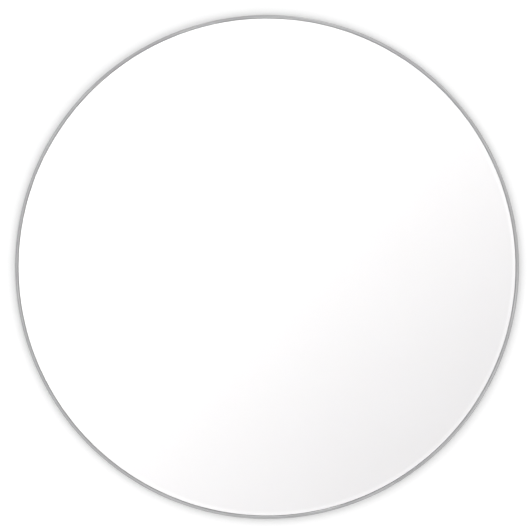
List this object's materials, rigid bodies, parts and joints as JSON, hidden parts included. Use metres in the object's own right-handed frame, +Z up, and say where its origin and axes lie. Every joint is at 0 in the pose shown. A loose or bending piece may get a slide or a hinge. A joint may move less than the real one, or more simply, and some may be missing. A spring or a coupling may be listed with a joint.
{
  "type": "circle template",
  "caption": "Round drawing template: a plain white acrylic disc in a thin steel edge band, on silicone pads that keep the band off wet ink. A pencil is run around its outside.",
  "frame": {"origin": "the circle's centre, on the paper that the template lies on", "axes": "+Z up, out of the white face, along the axis of the circle; +X and +Y run through the quadrant marks on the band"},
  "size_m": [0.2, 0.2, 0.004],
  "materials": {
    "white_acrylic": "polished gloss",
    "brushed_steel": "fine satin, brushed along the band",
    "foam_tape": "matt",
    "clear_silicone": "satin"
  },
  "bodies": {
    "root": {"template_disc": "white_acrylic", "edge_band": "brushed_steel", "bonding_ring": "foam_tape", "grip_pad_1": "clear_silicone", "grip_pad_2": "clear_silicone", "grip_pad_3": "clear_silicone", "grip_pad_4": "clear_silicone", "grip_pad_5": "clear_silicone", "grip_pad_6": "clear_silicone", "grip_pad_7": "clear_silicone", "grip_pad_8": "clear_silicone"}
  },
  "joints": []
}
